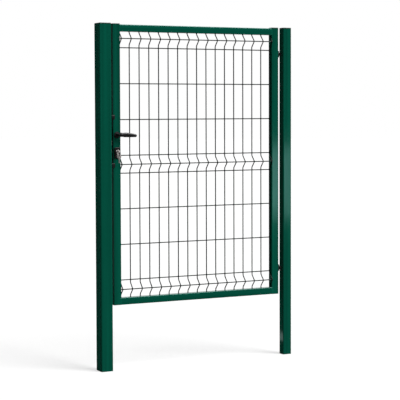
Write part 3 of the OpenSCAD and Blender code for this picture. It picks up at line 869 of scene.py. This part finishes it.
def faceplate():
    """Coated plate over the lock case, with the latch's hole, the dead bolt's end and two screws."""
    low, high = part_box("lock_faceplate")
    bolt_low, bolt_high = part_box("latch_bolt")
    centre = (low + high) / 2
    gap = 0.5 * MM

    def opening(width, height, z):
        return rounded_rectangle(width, height, 0.8 * MM, (0, z - centre.z), steps=2)[::-1]

    dead_w, dead_h, dead_out = 13 * MM, 24 * MM, 6 * MM
    holes = [opening(bolt_high.y - bolt_low.y + 2 * gap, bolt_high.z - bolt_low.z + 2 * gap,
                     (bolt_low.z + bolt_high.z) / 2),
             opening(dead_w + 2 * gap, dead_h + 2 * gap, KEY_Z)]
    outline = rounded_rectangle(high.y - low.y, high.z - low.z, 3 * MM)
    part = placed(plate([outline, *holes], high.x - low.x, 0.5 * MM, 2), axes(centre, Y, Z, X))
    make("faceplate", part, "black_steel", "leaf", ["lock_faceplate"], smooth=30)
    screw_r, screw_inset = 3.6 * MM, 8 * MM
    screw_z = (high.z - low.z) / 2 - screw_inset
    screws = [placed(socket_screw(screw_r), axes((low.x, 0, centre.z + side * screw_z), Y, -Z, -X))
              for side in (-1, 1)]
    dead_bolt = block((low.x + 0.3 * MM, -dead_w / 2, KEY_Z - dead_h / 2),
                      (high.x + dead_out, dead_w / 2, KEY_Z + dead_h / 2), 0.6 * MM)
    make("faceplate_screws_and_dead_bolt", joined(dead_bolt, *screws), "nickel", "leaf", smooth=30)


def latch():
    """Latch bolt with a rounded nose."""
    low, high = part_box("latch_bolt")
    width, length = high.y - low.y, high.x - low.x
    nose = 6 * MM
    outline = (arc((-length / 2 + nose, -width / 2 + nose), nose, -90, -180, 8)[::-1]
               + [(length / 2, -width / 2), (length / 2, width / 2)]
               + arc((-length / 2 + nose, width / 2 - nose), nose, 90, 180, 8))
    part = plate([outline], high.z - low.z, 0.7 * MM, 2)
    make("rounded_latch_bolt", placed(part, Matrix.Translation((low + high) / 2)), "nickel", "latch",
         ["latch_bolt"], smooth=30)


def keep():
    """Keep: a channel section with two pockets and its screws."""
    low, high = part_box("keep")
    ribs = [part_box("keep_front_rib"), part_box("keep_back_rib")]
    bolt_low, bolt_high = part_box("latch_bolt")
    latch_z = (bolt_low.z + bolt_high.z) / 2
    centre = (low + high) / 2
    corner_r, pocket_w, pocket_h = 2 * MM, 17 * MM, 32 * MM
    outline = rounded_rectangle(high.y - low.y, high.z - low.z, corner_r, steps=4)
    pockets = [rounded_rectangle(pocket_w, pocket_h, corner_r, (0, z - centre.z), steps=3)[::-1]
               for z in (latch_z, KEY_Z)]
    web = plate([outline, *pockets], high.x - low.x, 0.5 * MM, 2)
    parts = [placed(web, axes(centre, Y, Z, X))]
    parts += [block((low.x, rib_low.y, rib_low.z), rib_high, 1.2 * MM, 3) for rib_low, rib_high in ribs]
    make("keep_channel", joined(*parts), "black_plastic", "posts",
         ["keep", "keep_front_rib", "keep_back_rib"], smooth=30)
    screw_r, screw_insets = 4.2 * MM, (14 * MM, 62 * MM)
    screw_zs = [low.z + i for i in screw_insets] + [high.z - i for i in screw_insets[::-1]]
    heads = [placed(socket_screw(screw_r), axes((high.x, 0, z), Y, Z, X)) for z in screw_zs]
    make("keep_screws", joined(*heads), "zinc_steel", "posts", smooth=30)


def stop(node, name):
    """L-shaped stop at the keep's end, with a rubber pad where the leaf meets it."""
    low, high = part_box(node)
    rib_low, rib_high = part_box("keep_front_rib")
    arm_t, pad_t = 8 * MM, 3 * MM
    base = block(low, (rib_high.x, rib_low.y, high.z), 1.2 * MM, 3)
    arm = block(low, (high.x, low.y + arm_t - pad_t, high.z), 1.4 * MM, 3)
    make(name, joined(base, arm), "black_plastic", "posts", [node], smooth=30)
    pad = block((rib_high.x, low.y + arm_t - pad_t - 0.4 * MM, low.z + MM),
                (high.x - 0.5 * MM, low.y + arm_t, high.z - MM), 1.0 * MM, 3)
    make(name + "_pad", pad, "black_rubber", "posts", smooth=30)


wire_panel()
frame_welds()
for tube, tube_body, tube_r in (("hinge_post", "posts", POST_R), ("latch_post", "posts", POST_R),
                                ("hinge_stile", "leaf", TUBE_R), ("latch_stile", "leaf", TUBE_R)):
    cap(tube + "_cap", tube + "_cover", tube_body, tube_r)
for height in ("upper", "lower"):
    hinge(height)
for facing, word in ((-1, "front"), (1, "back")):
    lever(facing, word + "_lever", word + "_lever_casting")
for facing, word in ((-1, "front"), (1, "back")):
    rose(facing, "lever_rose_" + word, word + "_rose")
for word in ("front", "back"):
    escutcheon("key_escutcheon_" + word, word + "_escutcheon")
lock_cylinder()
keys()
faceplate()
latch()
keep()
for height in ("upper", "lower"):
    stop(height + "_stop", height + "_stop_bracket")


# ---------------- camera
LENS, SHIFT_Y = 123.91, -0.0579
EYE = (-4.0999, -7.0740, 1.4566)
YAW, PITCH, ROLL = 26.550, -2.80, -0.185     # degrees; the yaw runs from +Y towards +X


def camera():
    """Long-lens camera in front of the gate, to its left."""
    data = bpy.data.cameras.new("camera")
    data.lens = LENS
    data.shift_y = SHIFT_Y
    data.clip_end = 100
    cam = linked("camera", data)
    yaw, pitch, roll = math.radians(YAW), math.radians(PITCH), math.radians(ROLL)
    forward = Vector((math.sin(yaw) * math.cos(pitch), math.cos(yaw) * math.cos(pitch), math.sin(pitch)))
    level = forward.cross(Z).normalized()
    upright = level.cross(forward)
    right = math.cos(roll) * level + math.sin(roll) * upright
    up = -math.sin(roll) * level + math.cos(roll) * upright
    cam.matrix_world = axes(EYE, right, up, -forward)
    bpy.context.scene.camera = cam


# ---------------- stage and light
def sun_light(azimuth, elevation, angle, strength):
    """Broad soft key light. The azimuth runs from the front towards the right."""
    a, e = math.radians(azimuth), math.radians(elevation)
    towards = Vector((math.sin(a) * math.cos(e), -math.cos(a) * math.cos(e), math.sin(e)))
    data = bpy.data.lights.new("key_light", "SUN")
    data.energy = strength
    data.angle = math.radians(angle)
    lamp = linked("key_light", data)
    lamp.rotation_euler = towards.to_track_quat("Z", "Y").to_euler()


def glowing(name, mesh):
    """Gives a mesh a material that glows white. Returns its tree, its emission and its output."""
    material = bpy.data.materials.new(name)
    material.use_nodes = True
    mesh.materials.append(material)
    tree = material.node_tree
    tree.nodes.clear()
    glow = tree.nodes.new("ShaderNodeEmission")
    glow.inputs["Color"].default_value = (1, 1, 1, 1)
    return tree, glow, tree.nodes.new("ShaderNodeOutputMaterial")


def reflector(name, part, level):
    """Card that shows only in reflections, at an even level of light."""
    mesh = bpy.data.meshes.new(name)
    mesh.from_pydata([v[:] for v in part[0]], [], part[1])
    tree, glow, out = glowing(name, mesh)
    glow.inputs["Strength"].default_value = level
    tree.links.new(glow.outputs["Emission"], out.inputs["Surface"])
    card = linked(name, mesh)
    card.visible_camera = card.visible_diffuse = card.visible_shadow = False
    card.visible_transmission = card.visible_volume_scatter = False


def dark_tent(middle, radius, height, start, end, level, steps=48):
    """Dark cloth round the gate, on the floor and upright, open towards the back right.
    Angles run from the back towards the right."""
    rings = []
    for k in range(steps + 1):
        a = math.radians(start + (end - start) * k / steps)
        outward = Vector((math.sin(a), math.cos(a), 0))
        rings.append([middle + r * outward + h * Z for r, h in ((0, 0), (radius, 0), (radius, height))])
    vertices = [v for ring in rings for v in ring]
    faces = [[3 * k + i, 3 * k + i + 1, 3 * k + i + 4, 3 * k + i + 3] for k in range(steps) for i in range(2)]
    reflector("dark_tent", (vertices, faces), level)


def soft_box(name, centre, target, width, height, level):
    """Upright light card that faces a target."""
    towards = (target - centre).normalized()
    across, up = towards.cross(Z).normalized() * width / 2, Z * height / 2
    corners = [centre - across - up, centre + across - up, centre + across + up, centre - across + up]
    reflector(name, (corners, [[0, 1, 2, 3]]), level)


def background_rays(tree):
    """One for the rays that show the background: camera, glossy and transmission rays."""
    path = tree.nodes.new("ShaderNodeLightPath")
    total = path.outputs["Is Camera Ray"]
    for name in ("Is Glossy Ray", "Is Transmission Ray"):
        add = tree.nodes.new("ShaderNodeMath")
        add.operation = "MAXIMUM"
        tree.links.new(total, add.inputs[0])
        tree.links.new(path.outputs[name], add.inputs[1])
        total = add.outputs["Value"]
    return total


def world(diffuse_level):
    """White behind the object, and a dim even fill for its diffuse light."""
    scene_world = bpy.data.worlds.new("studio")
    scene_world.use_nodes = True
    tree = scene_world.node_tree
    fill, white = tree.nodes["Background"], tree.nodes.new("ShaderNodeBackground")
    for background, level in ((fill, diffuse_level), (white, 1)):
        background.inputs["Color"].default_value = (1, 1, 1, 1)
        background.inputs["Strength"].default_value = level
    mix = tree.nodes.new("ShaderNodeMixShader")
    tree.links.new(background_rays(tree), mix.inputs["Fac"])
    tree.links.new(fill.outputs["Background"], mix.inputs[1])
    tree.links.new(white.outputs["Background"], mix.inputs[2])
    tree.links.new(mix.outputs["Shader"], tree.nodes["World Output"].inputs["Surface"])
    bpy.context.scene.world = scene_world


def floor(own_light, radius=60, drop=0.2 * MM):
    """Round pale floor, a hair under the posts. It takes the shadows, and the background rays see
    it brighter by own_light."""
    bm = bmesh.new()
    bmesh.ops.create_circle(bm, cap_ends=True, radius=radius, segments=96)
    mesh = bpy.data.meshes.new("floor")
    bm.to_mesh(mesh)
    bm.free()
    tree, glow, out = glowing("floor", mesh)
    diffuse = tree.nodes.new("ShaderNodeBsdfDiffuse")
    diffuse.inputs["Color"].default_value = (0.35, 0.35, 0.35, 1)
    level = tree.nodes.new("ShaderNodeMath")
    level.operation = "MULTIPLY"
    level.inputs[1].default_value = own_light
    both = tree.nodes.new("ShaderNodeAddShader")
    tree.links.new(background_rays(tree), level.inputs[0])
    tree.links.new(level.outputs["Value"], glow.inputs["Strength"])
    tree.links.new(diffuse.outputs["BSDF"], both.inputs[0])
    tree.links.new(glow.outputs["Emission"], both.inputs[1])
    tree.links.new(both.outputs["Shader"], out.inputs["Surface"])
    piece = linked("floor", mesh)
    piece.location.z = -drop


MIDDLE = Vector(((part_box("latch_post")[0].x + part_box("hinge_post")[1].x) / 2, 0, 0))
HINGE_SIDE = Vector((-0.08, 0, 0.9))

camera()
world(diffuse_level=0.32)
floor(own_light=0.64)
sun_light(azimuth=35, elevation=45, angle=36, strength=3.75)
dark_tent(MIDDLE, radius=4.5, height=4.0, start=38, end=374, level=0.01)
soft_box("right_soft_box", Vector((1.38, -2.71, 0.87)), HINGE_SIDE, width=0.42, height=0.57, level=2.5)

scene = bpy.context.scene
scene.view_settings.view_transform = "Standard"
